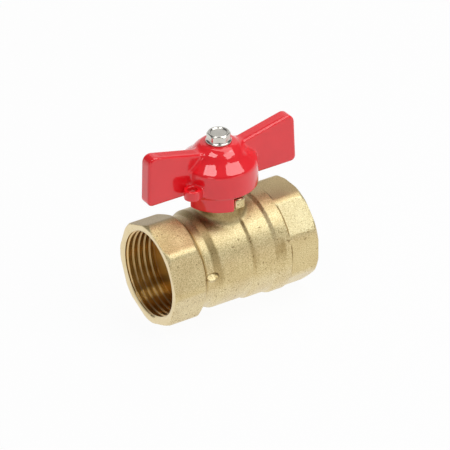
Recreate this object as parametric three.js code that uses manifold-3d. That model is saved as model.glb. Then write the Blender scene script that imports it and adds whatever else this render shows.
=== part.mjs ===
// A brass ball valve with female pipe threads at both ends and a butterfly handle.
// Millimetres. The pipe run lies along X, the stem stands along Z, and -Y is the front.
// Distances are counted from the centre of the ball, and heights of what stands over the neck from its top.
import * as THREE from "three";
import { mergeVertices } from "three/addons/utils/BufferGeometryUtils.js";
import Module from "manifold-3d";

const wasm = await Module();
wasm.setup();

// Body and end connector, outside
const cornerRadius = 20; // the octagon corners and the collar are turned to one radius
const flatsShare = 0.9425; // distance across the flats, of the diameter over the corners
const acrossFlats = 2 * cornerRadius * flatsShare;
const inletReach = 30.8; // ball centre to the inlet face
const outletReach = 30.5; // ball centre to the outlet face
const jointReach = 17.2; // ball centre to the line where the connector meets the body
const mouthRingRadius = 17.3;
const mouthRingEnd = 13; // ball centre to the end of the ring round the joint
const chamberBandRadius = 18.45;
const chamberBandStart = 10; // on the inlet side
const chamberBandEnd = 2.6; // on the outlet side
const shoulderBandRadius = 19.15;
const shoulderBandStart = 4.8;
const shoulderBandEnd = 12;
const collarStart = 13.4;
const outletOctagonStart = 18.4;
const faceBevel = 0.4;
const inletFaceStep = 0.7; // the corners are turned down by this at the end faces
const outletFaceStep = 0.95;
const connectorBackStep = 1.3; // and by this where the connector meets the body
const cornerTurning = 1.1; // length over which the corners are turned down
const inletFaceRadius = cornerRadius - inletFaceStep;
const outletFaceRadius = cornerRadius - outletFaceStep;
const connectorBackRadius = cornerRadius - connectorBackStep;
const outletCornerAngle = 22.5; // degrees: the body's octagon has a flat on top
const inletCornerAngle = 0; // the connector stops with a corner on top

// Waterway and pipe threads, G 1 at both ends
const waterwayRadius = 10.5;
const threadRadius = 16.62; // to the roots of the thread
const threadMouthRadius = 16.95;
const drillPointLength = 1.6;
const inletFloor = 1.2; // joint to the bottom of the inlet's thread
const outletWall = 3.1; // seat pocket to the outlet's drill point

// Inside the body
const chamberRadius = 15.4;
const ballRadius = 14.9;
const slotWidth = 3.4;
const slotLength = 12;
const slotDepth = 3.3;
const seatClearance = 0.05;
const seatInnerRadius = 10.9;
const seatBack = 12.25; // ball centre to the back of a seat ring
const seatFront = 7.5;
const pocketClearance = 0.05;
const spigotClearance = 0.2; // connector spigot in the body's mouth
const jointGap = 0.1;
const sealTubeRadius = 0.7;
const sealReach = 15.4; // ball centre to the middle of the body seal
const sealGrooveSpare = 0.25;
const ringClearance = 0.05;

// Neck of the body
const neckRadius = 8.7;
const neckTop = 28.2;
const neckFootRadius = 9; // across the pipe
const neckFootStretch = 1.26; // the foot is longer along the pipe
const neckFootTop = 20.6;
const neckFootBottom = 18;
const neckBevel = 0.5;
const lugReach = 13.3; // stem axis to the face of a stop lug
const lugWidth = 4.1;
const lugOffset = 0.65; // both lugs stand this far towards the outlet
const lugHeight = 4; // down from the top of the neck
const lugBevel = 0.6;

// Stem and what seals it
const stemRadius = 5;
const runningClearance = 0.08;
const collarTop = 17;
const collarBottom = 15.1;
const stemCollarRadius = 6.8;
const collarClearance = 0.3;
const washerThickness = 1.2;
const tangWidth = 3;
const tangLength = 9;
const tangBottomClearance = 0.25;
const stemSealHeight = 20.3;
const stemSealTubeRadius = 0.8;
const packingBoreRadius = 7;
const packingThickness = 1.95;
const packingBoreDepth = 6;
const flatsThickness = 7; // across the two flats that drive the handle
const flatsStart = 4.8; // over the neck
const stemTop = 15.1; // over the neck
const tappedDepth = 9.5;
const tappedRadius = 2.5;

// Packing nut
const nutAcrossFlats = 17;
const nutHeight = 3.7;
const nutBevel = 0.7;
const nutGap = 0.1;

// Handle, its heights over the neck
const skirtRadius = 14.1;
const skirtWall = 2.2;
const skirtBottom = 1.2;
const rimRadius = 13.4;
const rimHeight = 10.9;
const waistRadius = 10.3; // the dome is drawn in between its rim and its crown
const waistHeight = 13.8;
const crownRadius = 7.9;
const crownHeight = 16.6;
const domeTopRadius = 6.2;
const domeTop = 17.8;
const roofWall = 2.6;
const sleeveRadius = 7.2;
const handleSeatGap = 0.1;
const driveClearance = 0.1;
const screwHoleRadius = 2.8;
const skirtEdgeRound = 0.5;
const stopBottom = -4.2;
const stopInset = 0.2; // the stop apron stands this far inside the skirt
const stopGap = 0.3; // between apron and lug at both ends of the turn
const turn = 90; // degrees from open to closed
const wingReach = 31.2; // stem axis to the tip at its foot
const wingTopReach = 30.4;
const wingThickness = 5.5;
const wingTipTop = 21.2;
const wingRootTop = 16.2; // height of the top edge where it leaves the dome
const wingRootReach = 9;
const wingBottom = 1.25;
const wingCornerRadius = 2;
const wingTopCornerRadius = 3;
const wingEdgeRound = 0.9;
const eyeAngle = -157; // degrees round the stem
const eyeReach = 16.5; // stem axis to the middle of the sealing eye
const eyeRadius = 3.1;
const eyeHoleRadius = 1.75;
const eyeTop = 5.9;
const eyeThickness = 3.7;

// Handle screw
const headAcrossFlats = 8;
const flangeRadius = 4.75;
const flangeThickness = 1.25;
const headHeight = 3.7; // over its seat on the dome
const headCornerRadius = 4.36; // the corners of the hex are rounded off
const headBevel = 0.6;
const headAngle = -91.6; // degrees: where the tightened screw came to rest
const dishRadius = 3.2;
const dishDepth = 0.4;
const screwRadius = 2.4;
const screwLength = 9; // under the flange
const handleTopGap = 0.05;

// How finely round things are drawn, and how far cutters run past what they cut
const bodySides = 60;
const smallSides = 40;
const ringSides = 36;
const tubeSides = 8;
const overrun = 2;

const degree = Math.PI / 180;
const axisHeight = cornerRadius; // the pipe axis above the surface that the valve lies on
const seatPocketEnd = seatBack + pocketClearance;
const neckBoreFloor = neckTop - packingBoreDepth;
const washerTop = collarTop + washerThickness + 2 * ringClearance;
const gripRadius = skirtRadius - skirtWall;

// Geometry becomes a solid that can be joined and cut.
function solid(geometry) {
  const bare = geometry.clone();
  bare.deleteAttribute("normal");
  bare.deleteAttribute("uv");
  const merged = mergeVertices(bare, 1e-4);
  return new wasm.Manifold(
    new wasm.Mesh({
      numProp: 3,
      vertProperties: new Float32Array(merged.attributes.position.array),
      triVerts: new Uint32Array(merged.index.array),
    }),
  );
}

// A solid becomes a named piece with its own material.
function piece(name, shape, material) {
  const cut = shape.getMesh();
  const geometry = new THREE.BufferGeometry();
  geometry.setAttribute("position", new THREE.BufferAttribute(cut.vertProperties, 3));
  geometry.setIndex(new THREE.BufferAttribute(cut.triVerts, 1));
  geometry.computeVertexNormals();
  const mesh = new THREE.Mesh(geometry, material);
  mesh.name = name;
  return mesh;
}

// A turned form about Z from a closed profile of [radius, height] points.
// Its facets touch the stated radius from outside, so flats and turned faces share one distance.
function turnedZ(profile, sides = smallSides) {
  const grow = 1 / Math.cos(Math.PI / sides);
  const points = profile.map(([r, h]) => new THREE.Vector2(r * grow, h));
  points.push(points[0].clone());
  const lathe = new THREE.LatheGeometry(points, sides, Math.PI / sides);
  return solid(lathe.rotateX(Math.PI / 2));
}

// The same about X, with points given as [x, radius].
function turnedX(profile, sides = bodySides) {
  const grow = 1 / Math.cos(Math.PI / sides);
  const points = profile.map(([x, r]) => new THREE.Vector2(r * grow, x)).reverse();
  points.push(points[0].clone());
  const lathe = new THREE.LatheGeometry(points, sides, Math.PI / sides);
  return solid(lathe.rotateZ(-Math.PI / 2));
}

function cylinderZ(radius, low, high, sides = smallSides) {
  return turnedZ([[0, low], [radius, low], [radius, high], [0, high]], sides);
}

function cylinderX(radius, low, high, sides = bodySides) {
  return turnedX([[high, 0], [high, radius], [low, radius], [low, 0]], sides);
}

function box(low, high) {
  const size = high.map((value, i) => value - low[i]);
  const middle = high.map((value, i) => (value + low[i]) / 2);
  return solid(new THREE.BoxGeometry(...size).translate(...middle));
}

// A regular prism with flats at the stated distance, its corners at angle, drawn along Z.
function prism(sides, flats, angle, low, high) {
  const reach = flats / 2 / Math.cos(Math.PI / sides);
  const shape = new THREE.Shape();
  for (let i = 0; i < sides; i += 1) {
    const turned = angle * degree + (i * 2 * Math.PI) / sides;
    const move = i ? "lineTo" : "moveTo";
    shape[move](reach * Math.cos(turned), reach * Math.sin(turned));
  }
  const depth = high - low;
  return solid(new THREE.ExtrudeGeometry(shape, { depth, bevelEnabled: false }).translate(0, 0, low));
}

// The wrench octagon along X between two distances, with a corner at angle from the front.
function octagonX(angle, low, high) {
  return prism(8, acrossFlats, angle, low, high).rotate([0, 90, 0]);
}

// A round tube ring about Z.
function sealRing(radius, tubeRadius) {
  return solid(new THREE.TorusGeometry(radius, tubeRadius, tubeSides, ringSides));
}

// Bore from a pipe end: mouth bevel, thread down to its floor, drill point and waterway.
function socket(reach, floor, through) {
  const bevel = threadMouthRadius - threadRadius;
  return turnedX([
    [reach + overrun, 0],
    [reach + overrun, threadMouthRadius + overrun],
    [reach, threadMouthRadius],
    [reach - bevel, threadRadius],
    [floor, threadRadius],
    [floor - drillPointLength, waterwayRadius],
    [through, waterwayRadius],
    [through, 0],
  ]);
}

// Forged and turned outside of the body, from the joint to the outlet face.
function bodyOutside() {
  const bands = turnedX([
    [outletOctagonStart, 0],
    [outletOctagonStart, cornerRadius],
    [collarStart, cornerRadius],
    [shoulderBandEnd, shoulderBandRadius],
    [shoulderBandStart, shoulderBandRadius],
    [chamberBandEnd, chamberBandRadius],
    [-chamberBandStart, chamberBandRadius],
    [-mouthRingEnd, mouthRingRadius],
    [-jointReach + faceBevel, mouthRingRadius],
    [-jointReach, mouthRingRadius - faceBevel],
    [-jointReach, 0],
  ]);
  const lap = (outletOctagonStart + collarStart) / 2;
  const end = turnedX([
    [outletReach, 0],
    [outletReach, outletFaceRadius],
    [outletReach - cornerTurning, cornerRadius],
    [lap, cornerRadius],
    [lap, 0],
  ]).intersect(octagonX(outletCornerAngle, lap - overrun, outletReach + overrun));
  return bands.add(end);
}

// The neck with its foot and the two stop lugs.
function neck() {
  const root = neckFootBottom - neckRadius;
  const inner = neckRadius / neckFootStretch;
  const middle = (neckFootRadius + 2 * inner) / 3;
  const foot = turnedZ([
    [0, root],
    [neckFootRadius, root],
    [neckFootRadius, neckFootBottom],
    [middle, (neckFootBottom + neckFootTop) / 2],
    [inner, neckFootTop],
    [0, neckFootTop],
  ]).scale([neckFootStretch, 1, 1]);
  const post = turnedZ([
    [0, root],
    [neckRadius, root],
    [neckRadius, neckTop - neckBevel],
    [neckRadius - neckBevel, neckTop],
    [0, neckTop],
  ]).add(foot);
  const lug = new THREE.Shape();
  const half = lugWidth / 2;
  const lugBottom = neckTop - lugHeight;
  lug.moveTo(-half, lugBottom + lugBevel);
  lug.lineTo(-half + lugBevel, lugBottom);
  lug.lineTo(half - lugBevel, lugBottom);
  lug.lineTo(half, lugBottom + lugBevel);
  lug.lineTo(half, neckTop - lugBevel);
  lug.lineTo(half - lugBevel, neckTop);
  lug.lineTo(-half + lugBevel, neckTop);
  lug.lineTo(-half, neckTop - lugBevel);
  lug.closePath();
  const settings = {
    depth: lugReach - lugBevel / 2 - packingBoreRadius,
    bevelThickness: lugBevel / 2,
    bevelSize: lugBevel / 2,
    bevelOffset: -lugBevel / 2,
    bevelSegments: 1,
  };
  const front = new THREE.ExtrudeGeometry(lug, settings);
  front.translate(0, 0, packingBoreRadius).rotateX(Math.PI / 2);
  const back = front.clone().rotateZ(Math.PI);
  const lugs = solid(front).add(solid(back)).translate([lugOffset, 0, 0]);
  return post.add(lugs);
}

function valveBody() {
  const chamber = cylinderX(chamberRadius, -jointReach - overrun, seatPocketEnd);
  const collarPocket = cylinderZ(stemCollarRadius + collarClearance, 0, washerTop);
  const stemBore = cylinderZ(stemRadius + runningClearance, 0, neckTop + overrun);
  const packingBore = cylinderZ(packingBoreRadius, neckBoreFloor, neckTop + overrun);
  return bodyOutside()
    .add(neck())
    .subtract(chamber)
    .subtract(collarPocket)
    .subtract(stemBore)
    .subtract(packingBore)
    .subtract(socket(outletReach, seatPocketEnd + outletWall + drillPointLength, 0));
}

// The screwed-in end: octagon outside, spigot inside the body's mouth.
function endConnector() {
  const spigotRadius = chamberRadius - spigotClearance;
  const back = jointReach + jointGap;
  const nose = seatPocketEnd;
  const grooveHalf = sealTubeRadius + sealGrooveSpare;
  const grooveFloor = spigotRadius - 2 * sealTubeRadius + spigotClearance - 2 * ringClearance;
  const octagon = turnedX([
    [inletReach, 0],
    [inletReach, inletFaceRadius],
    [inletReach - cornerTurning, cornerRadius],
    [back + cornerTurning, cornerRadius],
    [back, connectorBackRadius],
    [back, 0],
  ]).intersect(octagonX(inletCornerAngle, back - overrun, inletReach + overrun));
  const spigot = turnedX([
    [back + overrun, 0],
    [back + overrun, spigotRadius],
    [sealReach + grooveHalf, spigotRadius],
    [sealReach + grooveHalf, grooveFloor],
    [sealReach - grooveHalf, grooveFloor],
    [sealReach - grooveHalf, spigotRadius],
    [nose + faceBevel, spigotRadius],
    [nose, spigotRadius - faceBevel],
    [nose, 0],
  ]);
  return octagon
    .add(spigot)
    .subtract(socket(inletReach, jointReach + inletFloor, 0))
    .rotate([0, 0, 180]);
}

function bodySeal() {
  const radius = chamberRadius - sealTubeRadius - ringClearance;
  return sealRing(radius, sealTubeRadius).rotate([0, 90, 0]).translate([-sealReach, 0, 0]);
}

// A ball with its waterway and, across the top, the slot for the stem.
function ball() {
  const sphere = new THREE.SphereGeometry(ballRadius, smallSides, smallSides / 2);
  const slot = box(
    [-slotWidth / 2, -slotLength / 2, ballRadius - slotDepth],
    [slotWidth / 2, slotLength / 2, ballRadius + overrun],
  );
  return solid(sphere.rotateZ(Math.PI / 2))
    .subtract(cylinderX(waterwayRadius, -ballRadius - overrun, ballRadius + overrun, smallSides))
    .subtract(slot);
}

// A seat ring on the outlet side, hollowed to the ball.
function seatRing() {
  const hollow = ballRadius + seatClearance;
  const steps = 4;
  const start = Math.asin(seatInnerRadius / hollow);
  const end = Math.acos(seatFront / hollow);
  const profile = [[seatBack, seatInnerRadius], [seatBack, chamberRadius - pocketClearance]];
  profile.push([seatFront, chamberRadius - pocketClearance]);
  for (let i = 0; i <= steps; i += 1) {
    const angle = end + ((start - end) * i) / steps;
    profile.push([hollow * Math.cos(angle), hollow * Math.sin(angle)]);
  }
  return turnedX(profile, smallSides);
}

// The stem: tang, collar, seal groove, shaft, driving flats and a tapped hole.
function stem() {
  const grooveHalf = stemSealTubeRadius + ringClearance;
  const grooveFloor = stemRadius - 2 * stemSealTubeRadius;
  const tangBottom = ballRadius - slotDepth + tangBottomClearance;
  const flats = neckTop + flatsStart;
  const top = neckTop + stemTop;
  const shaft = turnedZ([
    [0, collarBottom],
    [stemCollarRadius, collarBottom],
    [stemCollarRadius, collarTop],
    [stemRadius, collarTop],
    [stemRadius, stemSealHeight - grooveHalf],
    [grooveFloor, stemSealHeight - grooveHalf],
    [grooveFloor, stemSealHeight + grooveHalf],
    [stemRadius, stemSealHeight + grooveHalf],
    [stemRadius, flats],
    [0, flats],
  ]);
  const drive = cylinderZ(stemRadius, neckTop, top).intersect(
    box([-stemRadius * 2, -flatsThickness / 2, neckTop], [stemRadius * 2, flatsThickness / 2, top]),
  );
  const tang = box(
    [-tangWidth / 2, -tangLength / 2, tangBottom],
    [tangWidth / 2, tangLength / 2, (collarBottom + collarTop) / 2],
  );
  const tapped = cylinderZ(tappedRadius, top - tappedDepth, top + overrun);
  return shaft.add(drive).add(tang).subtract(tapped);
}

// A flat ring round the stem.
function flatRing(outer, low, high) {
  const inner = stemRadius + runningClearance;
  return turnedZ([[inner, low], [outer, low], [outer, high], [inner, high]]);
}

function stemSeal() {
  const radius = stemRadius - stemSealTubeRadius + ringClearance;
  return sealRing(radius, stemSealTubeRadius).translate([0, 0, stemSealHeight]);
}

function packingNut() {
  const shankBottom = neckBoreFloor + 2 * (packingThickness + ringClearance) + ringClearance;
  const low = neckTop + nutGap;
  const high = low + nutHeight;
  const corner = nutAcrossFlats / 2 / Math.cos(Math.PI / 6);
  const rounded = turnedZ([
    [0, low],
    [corner, low],
    [corner, high - nutBevel],
    [corner - nutBevel, high],
    [0, high],
  ]);
  return prism(6, nutAcrossFlats, 0, low, high)
    .intersect(rounded)
    .add(cylinderZ(packingBoreRadius - ringClearance, shankBottom, low + nutBevel))
    .subtract(cylinderZ(stemRadius + runningClearance, 0, high + overrun));
}

// Outline of the handle's hub, turned about the stem: skirt, rim, drawn-in dome and flat top.
function hub() {
  const outside = [
    [0, skirtBottom],
    [skirtRadius - skirtEdgeRound, skirtBottom],
    [skirtRadius, skirtBottom + skirtEdgeRound],
    [skirtRadius, rimHeight - 2 * skirtEdgeRound],
    [rimRadius, rimHeight],
    [waistRadius, waistHeight],
    [crownRadius, crownHeight],
    [crownRadius - skirtEdgeRound, domeTop - skirtEdgeRound],
    [domeTopRadius, domeTop],
    [0, domeTop],
  ];
  return turnedZ(outside, bodySides);
}

// The hollow under the hub, round the sleeve that sits on the stem.
function hubHollow() {
  const slope = (waistHeight - rimHeight) / (rimRadius - waistRadius);
  const drop = roofWall * Math.hypot(1, slope);
  const roofAt = (radius) => rimHeight + slope * (rimRadius - radius) - drop;
  const cornerHeight = flatsStart + handleSeatGap;
  return turnedZ(
    [
      [0, skirtBottom - overrun],
      [gripRadius, skirtBottom - overrun],
      [gripRadius, roofAt(gripRadius)],
      [sleeveRadius, roofAt(sleeveRadius)],
      [sleeveRadius, cornerHeight],
      [0, cornerHeight],
    ],
    bodySides,
  );
}

// One wing in profile, pulled through its thickness with rounded edges.
function wing() {
  const slope = (wingTipTop - wingRootTop) / (wingTopReach - wingRootReach);
  const lean = (wingReach - wingTopReach) / (wingTipTop - wingBottom);
  const top = (x) => wingRootTop + slope * (x - wingRootReach);
  const tip = (z) => wingReach - lean * (z - wingBottom);
  const low = wingCornerRadius;
  const high = wingTopCornerRadius;
  const root = sleeveRadius;
  const profile = new THREE.Shape();
  profile.moveTo(root, wingBottom);
  profile.lineTo(wingReach - low, wingBottom);
  profile.quadraticCurveTo(wingReach, wingBottom, tip(wingBottom + low), wingBottom + low);
  profile.lineTo(tip(wingTipTop - high), wingTipTop - high);
  profile.quadraticCurveTo(wingTopReach, wingTipTop, wingTopReach - high, top(wingTopReach - high));
  profile.lineTo(root, top(root));
  profile.closePath();
  const settings = {
    depth: wingThickness - 2 * wingEdgeRound,
    bevelThickness: wingEdgeRound,
    bevelSize: wingEdgeRound,
    bevelOffset: -wingEdgeRound,
    bevelSegments: 3,
    curveSegments: 5,
  };
  const plate = new THREE.ExtrudeGeometry(profile, settings);
  plate.translate(0, 0, -wingThickness / 2 + wingEdgeRound).rotateX(Math.PI / 2);
  return solid(plate);
}

// The apron under the skirt that meets a stop lug at both ends of the turn.
function stopApron() {
  const outer = skirtRadius - stopInset;
  const lugAngle = Math.asin((lugWidth / 2 - lugOffset + stopGap) / gripRadius) / degree;
  const start = -90 - lugAngle;
  const end = turn - 270 + lugAngle;
  const ring = turnedZ(
    [
      [gripRadius, stopBottom],
      [outer, stopBottom],
      [outer, skirtBottom + skirtEdgeRound * 2],
      [gripRadius, skirtBottom + skirtEdgeRound * 2],
    ],
    bodySides,
  );
  const sector = new THREE.Shape();
  const reach = skirtRadius * 2;
  sector.absarc(0, 0, reach, start * degree, end * degree, true);
  sector.lineTo(0, 0);
  sector.closePath();
  const wedge = new THREE.ExtrudeGeometry(sector, {
    depth: skirtBottom + overrun - stopBottom + overrun,
    bevelEnabled: false,
    curveSegments: 8,
  });
  return ring.intersect(solid(wedge.translate(0, 0, stopBottom - overrun)));
}

// The eye for a sealing wire, on the side of the skirt.
function sealingEye() {
  const low = eyeTop - eyeThickness;
  const ring = cylinderZ(eyeRadius, low, eyeTop, ringSides / 2).translate([eyeReach, 0, 0]);
  const web = box([gripRadius + skirtWall / 2, -eyeRadius, low], [eyeReach, eyeRadius, eyeTop]);
  return ring.add(web).rotate([0, 0, eyeAngle]);
}

function handle() {
  const driveHole = cylinderZ(stemRadius + driveClearance, skirtBottom, stemTop + driveClearance).intersect(
    box(
      [-stemRadius * 2, -flatsThickness / 2 - driveClearance, skirtBottom],
      [stemRadius * 2, flatsThickness / 2 + driveClearance, domeTop],
    ),
  );
  const eyeHole = cylinderZ(eyeHoleRadius, skirtBottom, eyeTop + overrun, ringSides / 2)
    .translate([eyeReach, 0, 0])
    .rotate([0, 0, eyeAngle]);
  const right = wing();
  const left = right.rotate([0, 0, 180]);
  return hub()
    .add(right)
    .add(left)
    .add(sealingEye())
    .subtract(hubHollow())
    .add(stopApron())
    .subtract(driveHole)
    .subtract(cylinderZ(screwHoleRadius, skirtBottom, domeTop + overrun))
    .subtract(eyeHole)
    .translate([0, 0, neckTop]);
}

// Flanged hex screw with a dished head.
function handleScrew() {
  const seat = neckTop + domeTop + handleTopGap;
  const headTop = seat + headHeight;
  const corner = headCornerRadius;
  const rounded = turnedZ([
    [0, seat],
    [corner, seat],
    [corner, headTop - headBevel],
    [corner - headBevel, headTop],
    [dishRadius, headTop],
    [dishRadius - dishDepth, headTop - dishDepth],
    [0, headTop - dishDepth],
  ]);
  const flange = turnedZ([
    [0, seat],
    [flangeRadius, seat],
    [flangeRadius, seat + flangeThickness / 2],
    [corner - headBevel, seat + flangeThickness],
    [0, seat + flangeThickness],
  ]);
  return prism(6, headAcrossFlats, headAngle, seat, headTop)
    .intersect(rounded)
    .add(flange)
    .add(cylinderZ(screwRadius, seat - screwLength, seat + flangeThickness / 2));
}

function material(color, metalness, roughness) {
  return new THREE.MeshStandardMaterial({ color, metalness, roughness });
}
const forgedBrass = () => material(0xb99a5b, 0.9, 0.55);
const turnedBrass = () => material(0xc9a961, 1, 0.3);
const chromedBrass = () => material(0xd0d2d4, 1, 0.12);
const whitePlastic = () => material(0xf1efe8, 0, 0.5);
const blackRubber = () => material(0x1c1c1c, 0, 0.6);
const redEnamel = () => material(0xc8141c, 0, 0.18);
const nickel = () => material(0xc9c8c0, 1, 0.25);

const valve = new THREE.Group();
valve.position.z = axisHeight;

const fixed = new THREE.Group();
const seat = seatRing();
const washerBottom = collarTop + ringClearance;
const lowerRing = neckBoreFloor + ringClearance;
const upperRing = lowerRing + packingThickness + ringClearance;
const packingOuter = packingBoreRadius - ringClearance;
fixed.add(
  piece("valve_body", valveBody(), forgedBrass()),
  piece("end_connector", endConnector(), forgedBrass()),
  piece("body_seal", bodySeal(), blackRubber()),
  piece("seat_ring_outlet", seat, whitePlastic()),
  piece("seat_ring_inlet", seat.rotate([0, 0, 180]), whitePlastic()),
  piece("thrust_washer", flatRing(stemCollarRadius, washerBottom, washerTop - ringClearance), whitePlastic()),
  piece("packing_ring_lower", flatRing(packingOuter, lowerRing, lowerRing + packingThickness), whitePlastic()),
  piece("packing_ring_upper", flatRing(packingOuter, upperRing, upperRing + packingThickness), whitePlastic()),
  piece("packing_nut", packingNut(), turnedBrass()),
);

const turning = new THREE.Group();
turning.add(
  piece("ball", ball(), chromedBrass()),
  piece("stem", stem(), turnedBrass()),
  piece("stem_seal", stemSeal(), blackRubber()),
  piece("handle", handle(), redEnamel()),
  piece("handle_screw", handleScrew(), nickel()),
);

valve.add(fixed, turning);
export default valve;
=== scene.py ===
import math
import bmesh
import bpy
import numpy as np
from mathutils import Matrix, Vector


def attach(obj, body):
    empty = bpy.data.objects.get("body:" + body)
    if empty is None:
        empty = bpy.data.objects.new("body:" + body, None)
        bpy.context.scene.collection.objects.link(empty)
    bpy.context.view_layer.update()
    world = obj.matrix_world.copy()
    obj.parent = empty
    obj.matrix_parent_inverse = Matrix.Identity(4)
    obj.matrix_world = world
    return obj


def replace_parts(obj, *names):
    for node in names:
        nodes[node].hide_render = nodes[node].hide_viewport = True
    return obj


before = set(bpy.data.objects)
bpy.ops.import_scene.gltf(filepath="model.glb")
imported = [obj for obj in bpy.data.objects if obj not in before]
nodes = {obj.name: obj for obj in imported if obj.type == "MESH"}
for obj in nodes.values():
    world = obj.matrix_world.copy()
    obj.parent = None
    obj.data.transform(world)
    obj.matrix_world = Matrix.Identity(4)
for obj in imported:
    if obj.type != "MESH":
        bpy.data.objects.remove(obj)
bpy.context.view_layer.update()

# Shapes are drawn in millimetres from the centre of the ball, X along the pipe, Z up the stem.
MM = 0.001
AXIS_HEIGHT = 20.0
GRID = 0.34
ARC_STEPS = 7


# Shapes as distance fields
def rounded(points, radii):
    """A closed outline with each corner turned into an arc of its radius."""
    points = [np.array(p, float) for p in points]
    out = []
    for i, corner in enumerate(points):
        radius = radii[i]
        if radius <= 0:
            out.append(tuple(corner))
            continue
        before = points[i - 1] - corner
        after = points[(i + 1) % len(points)] - corner
        long_a, long_b = np.linalg.norm(before), np.linalg.norm(after)
        before, after = before / long_a, after / long_b
        angle = math.acos(float(np.clip(before @ after, -1, 1)))
        if angle > 3.1:
            out.append(tuple(corner))
            continue
        cut = min(radius / math.tan(angle / 2), 0.48 * long_a, 0.48 * long_b)
        radius = cut * math.tan(angle / 2)
        middle = (before + after) / np.linalg.norm(before + after)
        centre = corner + middle * radius / math.sin(angle / 2)
        start, end = corner + before * cut - centre, corner + after * cut - centre
        sweep = math.atan2(start[0] * end[1] - start[1] * end[0], float(start @ end))
        for k in range(ARC_STEPS + 1):
            a = sweep * k / ARC_STEPS
            out.append((centre[0] + start[0] * math.cos(a) - start[1] * math.sin(a),
                        centre[1] + start[0] * math.sin(a) + start[1] * math.cos(a)))
    return out


def outline_distance(u, v, outline):
    """Distance to a closed outline, negative inside."""
    best = np.full(u.shape, 1e9)
    inside = np.zeros(u.shape, bool)
    for (ax, ay), (bx, by) in zip(outline, outline[1:] + outline[:1]):
        ex, ey = bx - ax, by - ay
        square = ex * ex + ey * ey
        if square < 1e-12:
            continue
        wx, wy = u - ax, v - ay
        t = np.clip((wx * ex + wy * ey) / square, 0, 1)
        dx, dy = wx - ex * t, wy - ey * t
        best = np.minimum(best, dx * dx + dy * dy)
        if ey != 0:
            inside ^= ((ay > v) != (by > v)) & (wx < ex * wy / ey)
    return np.where(inside, -1, 1) * np.sqrt(best)


class Outline:
    """The distance to an outline, kept on a fine grid so that it is quick to look up."""

    def __init__(self, points, radii=None, turned=False, step=0.08, margin=3.0):
        outline = rounded(points, radii) if radii is not None else [tuple(p) for p in points]
        if turned:
            outline = outline + [(u, -v) for u, v in reversed(outline) if v > 1e-9]
        at = np.array(outline)
        self.low = at.min(0) - margin - step * 0.173  # no grid line runs through a corner
        self.step = step
        count = np.ceil((at.max(0) + margin - self.low) / step).astype(int) + 1
        u = self.low[0] + np.arange(count[0]) * step
        v = self.low[1] + np.arange(count[1]) * step
        uu, vv = np.meshgrid(u, v, indexing="ij")
        self.table = outline_distance(uu.ravel(), vv.ravel(), outline).reshape(count)
        self.high = np.array([u[-1], v[-1]]) - 1e-6

    def __call__(self, u, v):
        cu = np.clip(u, self.low[0], self.high[0])
        cv = np.clip(v, self.low[1], self.high[1])
        fu, fv = (cu - self.low[0]) / self.step, (cv - self.low[1]) / self.step
        iu, iv = fu.astype(int), fv.astype(int)
        iu = np.minimum(iu, self.table.shape[0] - 2)
        iv = np.minimum(iv, self.table.shape[1] - 2)
        fu, fv = fu - iu, fv - iv
        t = self.table
        near = (t[iu, iv] * (1 - fu) * (1 - fv) + t[iu + 1, iv] * fu * (1 - fv)
                + t[iu, iv + 1] * (1 - fu) * fv + t[iu + 1, iv + 1] * fu * fv)
        beyond = np.hypot(u - cu, v - cv)
        return np.where(beyond > 0, np.hypot(near, beyond), near)


def join(a, b, radius=0.0):
    if radius <= 0:
        return np.minimum(a, b)
    u, v = np.maximum(radius - a, 0), np.maximum(radius - b, 0)
    return np.maximum(radius, np.minimum(a, b)) - np.hypot(u, v)


def common(a, b, radius=0.0):
    if radius <= 0:
        return np.maximum(a, b)
    u, v = np.maximum(radius + a, 0), np.maximum(radius + b, 0)
    return np.minimum(-radius, np.maximum(a, b)) + np.hypot(u, v)


def pulled(flat, across, half, radius):
    """A flat form pulled through its thickness, with rounded edges."""
    u, v = flat + radius, np.abs(across) - half + radius
    return np.minimum(np.maximum(u, v), 0) + np.hypot(np.maximum(u, 0), np.maximum(v, 0)) - radius


def regular(u, v, sides, flats, corner, radius):
    """A regular many-sided outline with flats at flats / 2 and a corner at the given angle."""
    sector = 2 * math.pi / sides
    angle = np.arctan2(v, u) - corner - sector / 2
    angle = angle - sector * np.round(angle / sector)
    away = np.hypot(u, v)
    half = flats / 2 - radius
    x, y = away * np.cos(angle) - half, np.abs(away * np.sin(angle)) - half * math.tan(sector / 2)
    return np.where(y <= 0, x, np.where(x > 0, np.hypot(x, y), x)) - radius


# From fields to meshes
CORNERS = np.array([(i, j, k) for i in (0, 1) for j in (0, 1) for k in (0, 1)])
SPAN = 1 << 12


def packed_key(ijk):
    return (ijk[..., 0] * SPAN + ijk[..., 1]) * SPAN + ijk[..., 2]


def in_parts(field, p):
    return np.concatenate([field(p[i:i + 400000]) for i in range(0, len(p), 400000)])


def gradient(field, p, reach=0.03):
    g = np.empty_like(p)
    for axis in range(3):
        step = np.zeros(3)
        step[axis] = reach
        g[:, axis] = (in_parts(field, p + step) - in_parts(field, p - step)) / (2 * reach)
    return g


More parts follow.
